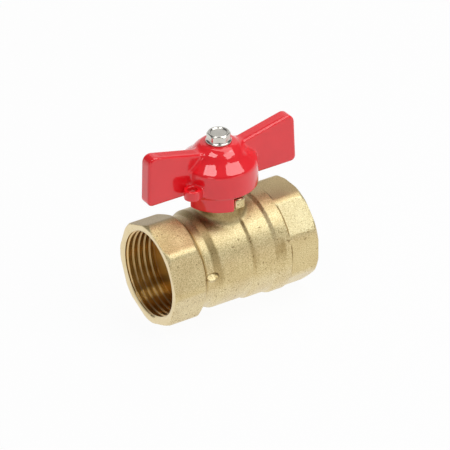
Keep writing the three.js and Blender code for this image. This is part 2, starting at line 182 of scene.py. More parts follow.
def skin(field, low, high, step, rounds=3):
    """Vertices and quads on the surface where the field is zero."""
    size = 16
    low = np.array(low, float) - 2.37 * step
    count = np.ceil((np.array(high, float) + 2 * step - low) / (step * size)).astype(int)
    cells = np.stack(np.meshgrid(*[np.arange(n) for n in count], indexing="ij"), -1).reshape(-1, 3)
    while True:
        d = in_parts(field, low + (cells + 0.5) * (size * step))
        cells = cells[np.abs(d) < size * step * 1.35]
        if size == 1:
            break
        cells = (cells[:, None, :] * 2 + CORNERS[None]).reshape(-1, 3)
        size //= 2
    keys, where = np.unique(packed_key(cells[:, None, :] + CORNERS[None]), return_inverse=True)
    ijk = np.stack([keys // SPAN // SPAN, keys // SPAN % SPAN, keys % SPAN], -1)
    value = in_parts(field, low + ijk * step)[where.reshape(-1, 8)]
    inside = value < 0
    active = inside.any(1) & ~inside.all(1)
    cells, value, inside = cells[active], value[active], inside[active]
    order = np.argsort(packed_key(cells))
    cells, value, inside = cells[order], value[order], inside[order]
    total, hits = np.zeros((len(cells), 3)), np.zeros(len(cells))
    for a in range(8):
        for b in range(a + 1, 8):
            if np.abs(CORNERS[a] - CORNERS[b]).sum() != 1:
                continue
            cut = inside[:, a] != inside[:, b]
            t = np.where(cut, value[:, a] / np.where(cut, value[:, a] - value[:, b], 1), 0)
            at = CORNERS[a] + t[:, None] * (CORNERS[b] - CORNERS[a])
            total += np.where(cut[:, None], at, 0)
            hits += cut
    p = low + (cells + total / hits[:, None]) * step
    for _ in range(rounds):
        d, g = in_parts(field, p), gradient(field, p)
        move = -d / np.maximum((g * g).sum(1), 0.25)
        move = np.clip(move, -0.5 * step, 0.5 * step)
        p = p + g * move[:, None]
    cell_keys = packed_key(cells)
    quads = []
    for axis in range(3):
        far = 4 >> axis
        b, c = np.eye(3, dtype=int)[(axis + 1) % 3], np.eye(3, dtype=int)[(axis + 2) % 3]
        cut = inside[:, 0] != inside[:, far]
        here = cells[cut]
        ring = [np.searchsorted(cell_keys, packed_key(here - back)) for back in (0 * b, b, b + c, c)]
        quad = np.stack(ring, -1)
        if not np.array_equal(cell_keys[np.minimum(quad, len(cell_keys) - 1)],
                              np.stack([packed_key(here - back) for back in (0 * b, b, b + c, c)], -1)):
            raise RuntimeError("the surface search missed a cell")
        outward = inside[cut, 0]
        quad[~outward] = quad[~outward][:, ::-1]
        quads.append(quad)
    return p, np.concatenate(quads)


def mesh_object(name, vertices, faces, material_slots=(), face_slots=None):
    mesh = bpy.data.meshes.new(name)
    at = np.array(vertices, float) * MM
    at[:, 2] += AXIS_HEIGHT * MM
    mesh.from_pydata(at.tolist(), [], faces.tolist() if isinstance(faces, np.ndarray) else faces)
    for m in material_slots:
        mesh.materials.append(m)
    if face_slots is not None:
        mesh.polygons.foreach_set("material_index", np.array(face_slots, np.int32))
    mesh.polygons.foreach_set("use_smooth", np.ones(len(mesh.polygons), bool))
    mesh.update()
    obj = bpy.data.objects.new(name, mesh)
    bpy.context.scene.collection.objects.link(obj)
    return obj


def lathe(profile, sides, axis="X"):
    """Vertices and faces of a closed turned form from (along, radius) points on and round its axis."""
    vertices, rows = [], []
    for along, radius in profile:
        if radius < 1e-6:
            rows.append([len(vertices)])
            vertices.append((along, 0.0, 0.0))
            continue
        rows.append(list(range(len(vertices), len(vertices) + sides)))
        for k in range(sides):
            a = 2 * math.pi * k / sides
            vertices.append((along, radius * math.cos(a), radius * math.sin(a)))
    faces = []
    for one, two in zip(rows, rows[1:] + rows[:1]):
        if len(one) == 1 and len(two) == 1:
            continue
        for k in range(sides):
            n = (k + 1) % sides
            if len(one) == 1:
                faces.append((one[0], two[n], two[k]))
            elif len(two) == 1:
                faces.append((one[k], one[n], two[0]))
            else:
                faces.append((one[k], one[n], two[n], two[k]))
    vertices = np.array(vertices)
    if axis == "Z":
        vertices = vertices[:, [1, 2, 0]]
    return outward(vertices, faces)


def outward(vertices, faces):
    """The same faces, turned so that they look out."""
    volume = 0.0
    for f in faces:
        a = vertices[f[0]]
        for k in range(1, len(f) - 1):
            volume += float(np.dot(a, np.cross(vertices[f[k]], vertices[f[k + 1]])))
    if volume < 0:
        faces = [tuple(reversed(f)) for f in faces]
    return vertices, faces


def cut_with(obj, cutter, operation="DIFFERENCE"):
    """Applies a boolean and keeps the cutter's materials on the faces that it leaves."""
    modifier = obj.modifiers.new("cut", "BOOLEAN")
    modifier.operation = operation
    modifier.object = cutter
    modifier.solver = "MANIFOLD"
    graph = bpy.context.evaluated_depsgraph_get()
    done = bpy.data.meshes.new_from_object(obj.evaluated_get(graph))
    obj.modifiers.clear()
    if len(done.polygons) == 0:
        raise RuntimeError("cutting " + obj.name + " left nothing")
    old = obj.data
    obj.data = done
    bpy.data.meshes.remove(old)
    bpy.data.objects.remove(cutter)


def shade(obj, degrees=38):
    """Smooth shading with sharp edges where faces meet at more than the angle."""
    mesh = obj.data
    mesh.polygons.foreach_set("use_smooth", np.ones(len(mesh.polygons), bool))
    mesh.set_sharp_from_angle(angle=math.radians(degrees))


# Sizes
CORNER_RADIUS, FLATS = 20.0, 37.7
INLET, OUTLET, JOINT = 30.8, 30.5, 17.2
INLET_DEPTH, OUTLET_DEPTH = 12.4, 13.5
WATERWAY, CHAMBER, CHAMBER_FLOOR = 10.5, 15.4, 12.3
THREAD_ROOT, THREAD_CREST, PITCH, MOUTH = 16.62, 16.05, 2.309, 17.3
GROOVE_RADIUS, GROOVE_LENGTH = THREAD_ROOT + 0.03, 0.7
NECK_RADIUS, NECK_FOOT, NECK_TOP = 8.7, 9.0, 28.2
OVERRUN = 2.0
SOCKET_SIDES = 144


# Materials
WHITE = (1.0, 1.0, 1.0)
# Colours of the painted shade along the feet of the bands.
BAND_SHADE = (0.72, 0.66, 0.54)
HALF_BAND_SHADE = (0.86, 0.82, 0.74)


def new_material(name):
    material = bpy.data.materials.new(name)
    material.use_nodes = True
    tree = material.node_tree
    return material, tree, tree.nodes["Principled BSDF"]


def add(tree, kind, **values):
    node = tree.nodes.new(kind)
    for key, value in values.items():
        if key in node.inputs:
            node.inputs[key].default_value = value
        else:
            setattr(node, key, value)
    return node


def feed(tree, socket, value):
    """Links a socket to a source, or sets it to a plain number or colour."""
    if isinstance(value, bpy.types.NodeSocket):
        tree.links.new(value, socket)
    else:
        socket.default_value = (*value, 1) if isinstance(value, tuple) else value


def calculated(tree, operation, *values, clamp=False):
    node = add(tree, "ShaderNodeMath", operation=operation, use_clamp=clamp)
    for socket, value in zip(node.inputs, values):
        feed(tree, socket, value)
    return node.outputs["Value"]


def times(tree, first, *others):
    for other in others:
        first = calculated(tree, "MULTIPLY", first, other)
    return first


def level(tree, source, low, high, source_low=0.0, source_high=1.0):
    node = add(tree, "ShaderNodeMapRange")
    node.inputs["From Min"].default_value = source_low
    node.inputs["From Max"].default_value = source_high
    node.inputs["To Min"].default_value = low
    node.inputs["To Max"].default_value = high
    tree.links.new(source, node.inputs["Value"])
    return node.outputs["Result"]


def rises(tree, source, start, full):
    return level(tree, source, 0.0, 1.0, start, full)


def falls(tree, source, full, end):
    return level(tree, source, 1.0, 0.0, full, end)


def ramp(tree, source, stops):
    node = tree.nodes.new("ShaderNodeValToRGB")
    tree.links.new(source, node.inputs["Fac"])
    elements = node.color_ramp.elements
    while len(elements) < len(stops):
        elements.new(0.5)
    for element, (at, colour) in zip(elements, stops):
        element.position = at
        element.color = (*colour, 1)
    return node.outputs["Color"]


def striped(stripes):
    """Ramp stops that are white between stripes of (start, full, last, end, colour)."""
    stops = []
    for start, full, last, end, colour in stripes:
        stops += [(start, WHITE), (full, colour), (last, colour), (end, WHITE)]
    return stops


def noise(tree, scale, detail=3.0, rough=0.5):
    place = tree.nodes.new("ShaderNodeTexCoord")
    node = add(tree, "ShaderNodeTexNoise", Scale=scale, Detail=detail, Roughness=rough)
    tree.links.new(place.outputs["Object"], node.inputs["Vector"])
    return node.outputs["Fac"]


def place_and_normal(tree):
    """The place in millimetres from the ball's centre and the normal, each split into X, Y and Z."""
    found = tree.nodes.new("ShaderNodeTexCoord")
    place = add(tree, "ShaderNodeVectorMath", operation="MULTIPLY_ADD")
    tree.links.new(found.outputs["Object"], place.inputs[0])
    place.inputs[1].default_value = (1 / MM, 1 / MM, 1 / MM)
    place.inputs[2].default_value = (0, 0, -AXIS_HEIGHT)
    split = []
    for source in (place.outputs[0], found.outputs["Normal"]):
        node = tree.nodes.new("ShaderNodeSeparateXYZ")
        tree.links.new(source, node.inputs[0])
        split.append(node.outputs)
    return split


def distance(tree, **parts):
    """The length of a vector with the given parts, the others being nought."""
    vector = tree.nodes.new("ShaderNodeCombineXYZ")
    for axis, source in parts.items():
        tree.links.new(source, vector.inputs[axis])
    length = add(tree, "ShaderNodeVectorMath", operation="LENGTH")
    tree.links.new(vector.outputs[0], length.inputs[0])
    return length.outputs["Value"]


def bumps(tree, shader, parts):
    """Chains bumps of (height source, strength, distance in metres) into a shader's normal."""
    last = None
    for source, strength, reach in parts:
        node = add(tree, "ShaderNodeBump", Strength=strength, Distance=reach)
        tree.links.new(source, node.inputs["Height"])
        if last:
            tree.links.new(last, node.inputs["Normal"])
        last = node.outputs["Normal"]
    tree.links.new(last, shader.inputs["Normal"])
    return last


def mixed(tree, colour, other, factor=1.0, blend="MULTIPLY"):
    mix = add(tree, "ShaderNodeMix", data_type="RGBA", blend_type=blend)
    feed(tree, mix.inputs["Factor"], factor)
    tree.links.new(colour, mix.inputs[6])
    feed(tree, mix.inputs[7], other)
    return mix.outputs[2]


def vary(tree, shader, source, colours, roughness):
    """A colour and a roughness that follow a noise."""
    colour = ramp(tree, source, [(0.3, colours[0]), (0.7, colours[1])])
    tree.links.new(colour, shader.inputs["Base Color"])
    tree.links.new(level(tree, source, *roughness), shader.inputs["Roughness"])
    return colour


def grained(tree, grain):
    """Brass that is darker in its pits, with cloudy patches, dark specks, and creases browned partly as
    dirt and partly as painted shade.
    """
    colour = ramp(tree, grain, [
        (0.34, (0.50, 0.39, 0.185)), (0.46, (0.74, 0.61, 0.33)), (0.56, (0.83, 0.705, 0.41)),
        (0.68, (0.95, 0.855, 0.57))])
    hollow = add(tree, "ShaderNodeNewGeometry").outputs["Pointiness"]
    cloud = ramp(tree, noise(tree, 130), [(0.35, (0.92, 0.89, 0.85)), (0.65, WHITE)])
    speck = ramp(tree, noise(tree, 700, 1), [(0.70, WHITE), (0.75, (0.55, 0.48, 0.38))])
    # Concave places, found by pointiness, are browned: dirt and painted shade in the creases.
    crease_dirt_and_shade = ramp(tree, hollow, [(0.40, (0.38, 0.28, 0.14)), (0.475, WHITE)])
    for layer in (cloud, speck, crease_dirt_and_shade):
        colour = mixed(tree, colour, layer)
    return colour


def painted_facing_light(tree, colour, facing):
    """Painted light and shade by how far the surface looks up: paler and cooler facing down, darker and
    more golden at the sides, browner on top.
    """
    # Painted light and shade: the colour follows the normal's Z.
    facing_light = ramp(tree, level(tree, facing["Z"], 0.0, 1.0, -1.0, 1.0), [
        (0.2, (1.05, 1.06, 1.12)), (0.375, (1.0, 1.0, 1.02)), (0.46, (0.95, 0.92, 0.84)),
        (0.57, (0.95, 0.92, 0.84)), (0.65, (0.99, 0.95, 0.88)), (0.7, (1.0, 0.97, 0.92)),
        (0.78, (0.99, 1.0, 0.97)), (0.9, (0.98, 1.0, 0.98)), (0.955, (0.9, 0.86, 0.77)),
        (0.995, (0.78, 0.72, 0.64))])
    return mixed(tree, colour, facing_light)


def painted_facet_light(tree, colour, at, facing):
    """Painted light and shade on the octagons: the inlet's two upper flats and the outlet's front one."""
    inlet = falls(tree, at["X"], -17.4, -17.2)
    upward = rises(tree, facing["Z"], 0.84, 0.9)
    near = times(tree, inlet, upward, falls(tree, at["Y"], -2.0, -0.5))
    far = times(tree, inlet, upward, rises(tree, at["Y"], -0.5, 1.0))
    # Painted light: the inlet's near upper flat is made paler towards its top.
    colour = mixed(tree, colour, (1.25, 1.47, 1.54), times(tree, near, rises(tree, at["Z"], 14.8, 18.0)))
    # Painted shade: that flat is darkened by the mouth, and the far upper flat all over.
    by_mouth = times(tree, falls(tree, at["X"], -27.5, -23.5), falls(tree, at["Z"], 17.4, 18.8))
    colour = mixed(tree, colour, (0.8, 0.75, 0.69), times(tree, near, by_mouth))
    colour = mixed(tree, colour, (0.73, 0.7, 0.67), far)
    # Painted light: the outlet's slanted flats are made paler and cooler.
    slanted = times(tree, rises(tree, facing["Z"], 0.6, 0.66), falls(tree, facing["Z"], 0.76, 0.82))
    outlet = rises(tree, at["X"], 18.4, 19.5)
    return mixed(tree, colour, (0.96, 1.0, 1.06), times(tree, slanted, outlet))


def joint_line_and_band_shade(tree, colour, at, upper):
    """A dark line along the joint, deepened as painted shade, and painted shade along the feet of the
    bands, on the upper half.
    """
    # The joint's dark line, partly painted shade, fading on the lower half.
    joint = ramp(tree, level(tree, at["X"], 0.0, 1.0, -18.2, -15.2), [
        (0.25, WHITE), (0.3, (0.42, 0.31, 0.14)), (0.6, (0.45, 0.34, 0.17)), (0.72, (0.8, 0.72, 0.56)),
        (0.95, WHITE)])
    colour = mixed(tree, colour, joint, level(tree, upper, 0.35, 1.0))
    along = level(tree, at["X"], 0.0, 1.0, -14.0, 17.0)
    # Painted shade along the feet of the bands, on the upper half.
    shoulder_shade = ramp(tree, along, striped([
        (0.02, 0.045, 0.11, 0.135, BAND_SHADE), (0.53, 0.54, 0.57, 0.585, HALF_BAND_SHADE)]))
    colour = mixed(tree, colour, shoulder_shade, upper)
    # Painted shade along the feet of the bands, on the front.
    front_shade = ramp(tree, along, striped([
        (0.1, 0.115, 0.14, 0.16, BAND_SHADE), (0.53, 0.54, 0.6, 0.62, HALF_BAND_SHADE),
        (0.83, 0.85, 0.96, 0.985, BAND_SHADE)]))
    # The painted shade on the front ends higher towards the outlet.
    height = calculated(tree, "SUBTRACT", at["Z"], level(tree, at["X"], 0.0, 3.0, -10.0, 0.0))
    shown = times(tree, falls(tree, at["Y"], -18.7, -17.2), rises(tree, height, -2.8, 2.0))
    return mixed(tree, colour, front_shade, shown)


def octagon_foot_shade(tree, colour, at, upper):
    """Painted shade: the dark line where the outlet octagon's flats run out into the collar, fading on the
    lower half.
    """
    reach = distance(tree, Y=at["Y"], Z=at["Z"])
    lean = calculated(tree, "MULTIPLY_ADD", reach, 0.51, at["X"])
    line = times(tree, rises(tree, at["X"], 18.3, 18.4), falls(tree, lean, 28.8, 29.1),
                 falls(tree, reach, 19.5, 19.9))
    # Painted shade in a brown line.
    return mixed(tree, colour, (0.4, 0.3, 0.15), times(tree, line, level(tree, upper, 0.3, 1.0)))


def shade_under_handle(tree, colour, at):
    """Painted shade on the neck and its foot, under the handle."""
    near = falls(tree, distance(tree, X=at["X"], Y=at["Y"]), 9.3, 12.5)
    # Painted shade: the brass near the neck is darkened.
    return mixed(tree, colour, (0.62, 0.56, 0.46), times(tree, near, rises(tree, at["Z"], 14.5, 18.5)))


def blasted_brass():
    """Forged and shot-blasted brass, with painted light and shade by facing, on the octagons' flats, along
    the joint and band feet, and under the handle.
    """
    material, tree, shader = new_material("blasted_brass")
    grain = noise(tree, 2600, 3, 0.6)
    at, facing = place_and_normal(tree)
    upper = rises(tree, at["Z"], -2.5, 1.5)
    # Painted light and shade: by facing, on the flats, along the joint and bands, at the octagon's foot and
    # under the handle.
    colour = painted_facing_light(tree, grained(tree, grain), facing)
    colour = painted_facet_light(tree, colour, at, facing)
    colour = joint_line_and_band_shade(tree, colour, at, upper)
    colour = octagon_foot_shade(tree, colour, at, upper)
    colour = shade_under_handle(tree, colour, at)
    tree.links.new(colour, shader.inputs["Base Color"])
    shader.inputs["Metallic"].default_value = 1.0
    tree.links.new(level(tree, grain, 0.4, 0.62), shader.inputs["Roughness"])
    shader.inputs["Coat Weight"].default_value = 0.6
    shader.inputs["Coat Roughness"].default_value = 0.44
    bumps(tree, shader, [(noise(tree, 1500, 2), 0.45, 0.00016), (grain, 0.4, 0.0001)])
    return material


def turned_brass(name, colours, roughness):
    material, tree, shader = new_material(name)
    colour = vary(tree, shader, noise(tree, 420), colours, roughness)
    shader.inputs["Metallic"].default_value = 1.0
    return material, tree, shader, colour


def thread_brass():
    """Turned brass whose tool marks run round the pipe's axis, with a painted highlight on the thread
    flanks.
    """
    material, tree, shader, colour = turned_brass(
        "cut_thread_brass", [(0.53, 0.32, 0.08), (0.61, 0.37, 0.1)], (0.27, 0.29))
    at, facing = place_and_normal(tree)
    # Painted highlight: flanks that slant along the axis are made paler.
    slant = rises(tree, calculated(tree, "ABSOLUTE", facing["X"]), 0.4, 0.8)
    threaded = rises(tree, distance(tree, Y=at["Y"], Z=at["Z"]), 15.8, 16.0)
    colour = mixed(tree, colour, (0.7, 0.5, 0.25), times(tree, slant, threaded), "MIX")
    tree.links.new(colour, shader.inputs["Base Color"])
    shader.inputs["Anisotropic"].default_value = 0.88
    shader.inputs["Anisotropic Rotation"].default_value = 0.25
    way = add(tree, "ShaderNodeTangent", direction_type="RADIAL", axis="X")
    tree.links.new(way.outputs["Tangent"], shader.inputs["Tangent"])
    return material


def plain_metal(name, colours, roughness):
    material, tree, shader = new_material(name)
    fine = noise(tree, 300)
    vary(tree, shader, fine, colours, roughness)
    shader.inputs["Metallic"].default_value = 1.0
    bumps(tree, shader, [(fine, 0.05, 0.00005)])
    return material


def soft_material(name, colours, roughness):
    material, tree, shader = new_material(name)
    fine = noise(tree, 500)
    vary(tree, shader, fine, colours, roughness)
    bumps(tree, shader, [(fine, 0.1, 0.0001)])
    return material


def red_enamel():
    """Thick glossy enamel with a slight unevenness in its coat."""
    material, tree, shader = new_material("red_enamel")
    vary(tree, shader, noise(tree, 90, 2, 0.4), [(0.88, 0.006, 0.014), (0.94, 0.010, 0.020)], (0.42, 0.5))
    shader.inputs["Specular IOR Level"].default_value = 0.2
    shader.inputs["Coat Weight"].default_value = 1.0
    shader.inputs["Coat IOR"].default_value = 1.6
    shader.inputs["Coat Roughness"].default_value = 0.03
    uneven = bumps(tree, shader, [(noise(tree, 200, 2, 0.4), 0.06, 0.0002)])
    tree.links.new(uneven, shader.inputs["Coat Normal"])
    return material


BLASTED = blasted_brass()
TURNED = turned_brass("turned_brass", [(0.76, 0.62, 0.36), (0.82, 0.69, 0.44)], (0.24, 0.34))[0]
THREAD = thread_brass()
CHROME = plain_metal("ball_chrome", [(0.56, 0.56, 0.57), (0.66, 0.66, 0.67)], (0.05, 0.10))
NICKEL = plain_metal("bright_nickel", [(0.61, 0.59, 0.53), (0.69, 0.67, 0.61)], (0.2, 0.26))
PTFE = soft_material("white_ptfe", [(0.80, 0.80, 0.77), (0.86, 0.86, 0.83)], (0.4, 0.5))
RUBBER = soft_material("black_rubber", [(0.015, 0.015, 0.015), (0.03, 0.03, 0.03)], (0.45, 0.6))
ENAMEL = red_enamel()
BRASS = (BLASTED, TURNED, THREAD)  # the slots of body and connector: as forged, turned, thread


# What the pieces are cut from
def solid_piece(name, made, step, slots):
    field, low, high = made
    vertices, quads = skin(field, low, high, step)
    return mesh_object(name, vertices, quads, slots, np.zeros(len(quads), int))


def bar(low, high, radius):
    """The profile of a plain round bar between two places."""
    return [(low, 0), (low, radius), (high, radius), (high, 0)]


def turned_cutter(name, profile, sides, axis, slots, slot=1):
    vertices, faces = lathe(profile, sides, axis)
    return mesh_object(name, vertices, faces, slots, np.full(len(faces), slot))


def bevelled_block(name, low, high, bevel, slots):
    """A box whose edges and corners are cut off at 45 degrees, its bevels in the second slot."""
    shape = bmesh.new()
    for corner in CORNERS:
        for axis in range(3):
            at = [high[i] - bevel if corner[i] else low[i] + bevel for i in range(3)]
            at[axis] = high[axis] if corner[axis] else low[axis]
            shape.verts.new(at)
    bmesh.ops.convex_hull(shape, input=shape.verts)
    shape.verts.index_update()
    vertices = np.array([v.co[:] for v in shape.verts])
    faces = [tuple(v.index for v in f.verts) for f in shape.faces]
    shape.free()
    vertices, faces = outward(vertices, faces)
    obj = mesh_object(name, vertices, faces, slots)
    for polygon in obj.data.polygons:
        polygon.material_index = 0 if max(abs(v) for v in polygon.normal) > 0.9 else 1
    return obj


# The pipe threads
# One turn: share of the pitch from the middle of the root, share of the depth towards the crest.
THREAD_FORM = [
    (0.0, 0.0), (0.11, 0.0), (0.15, 0.08), (0.18, 0.27), (0.25, 0.73), (0.28, 0.92), (0.32, 1.0),
    (0.48, 1.0), (0.64, 1.0), (0.68, 0.92), (0.71, 0.73), (0.78, 0.27), (0.81, 0.08), (0.85, 0.0)]
THREAD_SHIFT_SHARE = 0.04  # of a pitch


def thread_hollow(name, low, high, slots):
    """What a right-hand female thread leaves free between two places along X, as one winding strip."""
    sides = SOCKET_SIDES
    per_turn = len(THREAD_FORM)
    first = math.floor(low / PITCH) - 2
    turns = math.ceil(high / PITCH) + 2 - first
    count = turns * per_turn
    vertices = []
    for i in range(count + 1):
        share, rise = THREAD_FORM[i % per_turn]
        radius = THREAD_ROOT + (THREAD_CREST - THREAD_ROOT) * rise
        along = first + i // per_turn + share + THREAD_SHIFT_SHARE
        for k in range(sides):
            a = 2 * math.pi * k / sides
            vertices.append(((along + k / sides) * PITCH, radius * math.cos(a), radius * math.sin(a)))

    def at(i, k):
        return i * sides + k if k < sides else (i + per_turn) * sides

    faces = []
    for i in range(count):
        for k in range(sides):
            if k < sides - 1 or i + 1 + per_turn <= count:
                faces.append((at(i, k), at(i, k + 1), at(i + 1, k + 1), at(i + 1, k)))
    near = [at(per_turn, 0)] + [at(0, k) for k in reversed(range(sides))]
    near += [at(i, 0) for i in range(1, per_turn)]
    far = [at(count, k) for k in range(sides)]
    far += [at(i, sides - 1) for i in range(count - 1, count - per_turn - 1, -1)]
    for loop, end in ((near, first * PITCH), (far, (first + turns + 1) * PITCH)):
        centre = len(vertices)
        vertices.append((end, 0.0, 0.0))
        faces += [(centre, loop[i], loop[(i + 1) % len(loop)]) for i in range(len(loop))]
    vertices, faces = outward(np.array(vertices), faces)
    strip = mesh_object(name, vertices, faces, slots, np.full(len(faces), 2))
    length = turned_cutter("thread_length", bar(low, high, CORNER_RADIUS + OVERRUN), 48, "X", slots)
    cut_with(strip, length, "INTERSECT")
    return strip


def cut_socket(obj, name, face, depth, sign):
    """Cuts a threaded pipe end: thread, mouth bevel, the groove at its floor, drill point and waterway."""
    low, high = sorted((face + sign * 0.5, face - sign * (depth - 0.3)))
    cut_with(obj, thread_hollow(name + "_thread", low, high, BRASS))
    bevel = [(-1.0, 0), (-1.0, MOUTH + 1.3), (1.5, MOUTH - 1.95), (1.5, 0)]
    floor = [
        (depth - 1.5, 0), (depth - 1.5, THREAD_CREST - 0.5), (depth - GROOVE_LENGTH, GROOVE_RADIUS),
        (depth, GROOVE_RADIUS), (depth + 1.6, WATERWAY), (INLET, WATERWAY), (INLET, 0)]
    for part, profile, slot in (("bevel", bevel, 1), ("floor", floor, 2)):
        profile = [(face - sign * s, r) for s, r in profile]
        cut_with(obj, turned_cutter(name + "_" + part, profile, SOCKET_SIDES, "X", BRASS, slot))


def face_to_turned(obj, x, sign):
    """Gives a machined end face the turned brass."""
    mesh = obj.data
    centre = np.empty(len(mesh.polygons) * 3)
    normal = np.empty(len(mesh.polygons) * 3)
    index = np.empty(len(mesh.polygons), np.int32)
    mesh.polygons.foreach_get("center", centre)
    mesh.polygons.foreach_get("normal", normal)
    mesh.polygons.foreach_get("material_index", index)
    centre, normal = centre.reshape(-1, 3) / MM, normal.reshape(-1, 3)
    ended = (np.abs(centre[:, 0] - x) < 0.12) & (normal[:, 0] * sign > 0.9)
    index[ended] = 1
    mesh.polygons.foreach_set("material_index", index)


# Body
COLLAR_FOOT, BAND_FOOT, RING_END = 12.1, 2.7, 13.0
BAND_RADIUS, BARREL_RADIUS, RING_RADIUS = 19.15, 18.45, 17.3
OCTAGON_START = 18.4
# Where collar, band and barrel start, at the top and bottom and then at the front and back.
SHOULDERS = ((13.3, 3.6, -10.6), (16.2, 4.8, -9.2))
SPOT_CENTRE = np.array([-13.9, -17.15, 2.3])
SPOT_NORMAL = np.array([0.0, -0.67, 0.742])
SPOT_UP = np.array([0.0, 0.742, 0.67])
SPOT_LONG, SPOT_SHORT = 2.5, 1.4  # half sizes of the round spot on the front
LUG_MIDDLE, LUG_HALF_WIDTH, LUG_FOOT, LUG_BEVEL = 0.65, 2.05, 24.2, 0.5
LUG_FROM, LUG_TO = 7.5, 13.3
STEM_BORE, STEM_POCKET, STEM_SHOULDER = 5.08, 7.1, 18.3
PACKING_RADIUS, PACKING_FLOOR = 7.0, 22.2


def banded(collar_from, band_from, barrel_from):
    """The turned outline of collar, band, barrel and ring, with its shoulders at the given places."""
    end = OCTAGON_START + 0.6
    return Outline([
        (end, 0), (end, CORNER_RADIUS), (collar_from, CORNER_RADIUS), (COLLAR_FOOT, BAND_RADIUS),
        (band_from, BAND_RADIUS), (BAND_FOOT, BARREL_RADIUS), (barrel_from, BARREL_RADIUS),
        (-RING_END, RING_RADIUS), (-JOINT, RING_RADIUS), (-JOINT, 0)],
        [0, 0, 0.5, 0.5, 0.3, 0.3, 0.45, 0.4, 0.4, 0], turned=True)


def with_spot(raised, p):
    """The flat oval spot on the front, raised where the barrel falls away and cut into it elsewhere."""
    q = p - SPOT_CENTRE
    rise = q @ SPOT_NORMAL
    oval = (np.hypot(q[:, 0] / SPOT_LONG, q @ SPOT_UP / SPOT_SHORT) - 1) * SPOT_SHORT
    raised = join(raised, pulled(oval, rise + 1.0, 1.0, 0.1), 0.1)
    return common(raised, -pulled(oval, rise - 2.0, 2.0, 0.05), 0.06)


def body_outside():
    steep, leaning = [banded(*places) for places in SHOULDERS]
    flats_from = OCTAGON_START - 2.5
    end = Outline([
        (OUTLET, 0), (OUTLET, 19.05), (OUTLET - 1.1, CORNER_RADIUS), (flats_from, CORNER_RADIUS),
        (flats_from, 0)],
        [0, 0.25, 0.6, 0, 0], turned=True)

    def field(p):
        x, y, z = p[:, 0], p[:, 1], p[:, 2]
        away = np.hypot(y, z)
        sideways = np.clip((np.abs(y) / np.maximum(away, 1) - 0.75) / 0.22, 0, 1)
        bands = steep(x, away) * (1 - sideways) + leaning(x, away) * sideways
        collar = common(bands, x - OCTAGON_START, 0.2)
        flats = regular(y, z, 8, FLATS, math.radians(22.5), 0.35)
        tube = join(collar, common(end(x, away), flats, 0.25), 0.1)
        post = common(np.hypot(x, y) - NECK_RADIUS, z - NECK_TOP, 0.5)
        post = common(post, NECK_FOOT - z)
        return with_spot(join(tube, post, 1.9), p)

    return field, (-JOINT, -CORNER_RADIUS, -CORNER_RADIUS), (OUTLET, CORNER_RADIUS, NECK_TOP)


def build_body():
    body = solid_piece("valve_body_forging", body_outside(), GRID, BRASS)
    for side in (-1, 1):
        low, high = sorted((side * LUG_FROM, side * LUG_TO))
        lug = bevelled_block(
            "stop_lug", (LUG_MIDDLE - LUG_HALF_WIDTH, low, LUG_FOOT),
            (LUG_MIDDLE + LUG_HALF_WIDTH, high, NECK_TOP), LUG_BEVEL, BRASS)
        cut_with(body, lug, "UNION")
    bore = [
        (0, 0), (0, STEM_BORE), (PACKING_FLOOR, STEM_BORE), (PACKING_FLOOR, PACKING_RADIUS),
        (NECK_TOP + OVERRUN, PACKING_RADIUS), (NECK_TOP + OVERRUN, 0)]
    for name, profile, sides, axis in (
            ("chamber", bar(-JOINT - OVERRUN, CHAMBER_FLOOR, CHAMBER), 96, "X"),
            ("collar_pocket", bar(0, STEM_SHOULDER, STEM_POCKET), 64, "Z"),
            ("stem_bore", bore, 64, "Z")):
        cut_with(body, turned_cutter(name, profile, sides, axis, BRASS))
    cut_socket(body, "outlet", OUTLET, OUTLET_DEPTH, 1)
    face_to_turned(body, OUTLET, 1)
    shade(body)
    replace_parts(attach(body, "valve"), "valve_body")


# End connector
SPIGOT_RADIUS, SPIGOT_END = 15.2, 12.3
SEAL_GROOVE_RADIUS, SEAL_GROOVE_FROM, SEAL_GROOVE_TO = 13.9, 16.35, 14.45


def connector_outside():
    shoulder = JOINT + 0.1
    end = Outline([
        (-INLET, 0), (-INLET, 19.3), (-INLET + 1.0, CORNER_RADIUS), (-shoulder - 1.2, CORNER_RADIUS),
        (-shoulder, 18.6), (-shoulder, 0)],
        [0, 0.25, 0.6, 0.7, 0.4, 0], turned=True)

    def field(p):
        x, y, z = p[:, 0], p[:, 1], p[:, 2]
        flats = regular(y, z, 8, FLATS, 0.0, 0.35)
        return common(end(x, np.hypot(y, z)), flats, 0.3)

    return field, (-INLET, -CORNER_RADIUS, -CORNER_RADIUS), (-shoulder, CORNER_RADIUS, CORNER_RADIUS)


def build_connector():
    connector = solid_piece("end_connector_forging", connector_outside(), GRID, BRASS)
    spigot = [
        (-JOINT - 1.5, 0), (-JOINT - 1.5, SPIGOT_RADIUS), (-SEAL_GROOVE_FROM, SPIGOT_RADIUS),
        (-SEAL_GROOVE_FROM, SEAL_GROOVE_RADIUS), (-SEAL_GROOVE_TO, SEAL_GROOVE_RADIUS),
        (-SEAL_GROOVE_TO, SPIGOT_RADIUS), (-SPIGOT_END - 0.4, SPIGOT_RADIUS),
        (-SPIGOT_END, SPIGOT_RADIUS - 0.4), (-SPIGOT_END, 0)]
    cut_with(connector, turned_cutter("spigot", spigot, 96, "X", BRASS), "UNION")
    cut_socket(connector, "inlet", -INLET, INLET_DEPTH, -1)
    face_to_turned(connector, -INLET, -1)
    shade(connector)
    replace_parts(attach(connector, "valve"), "end_connector")


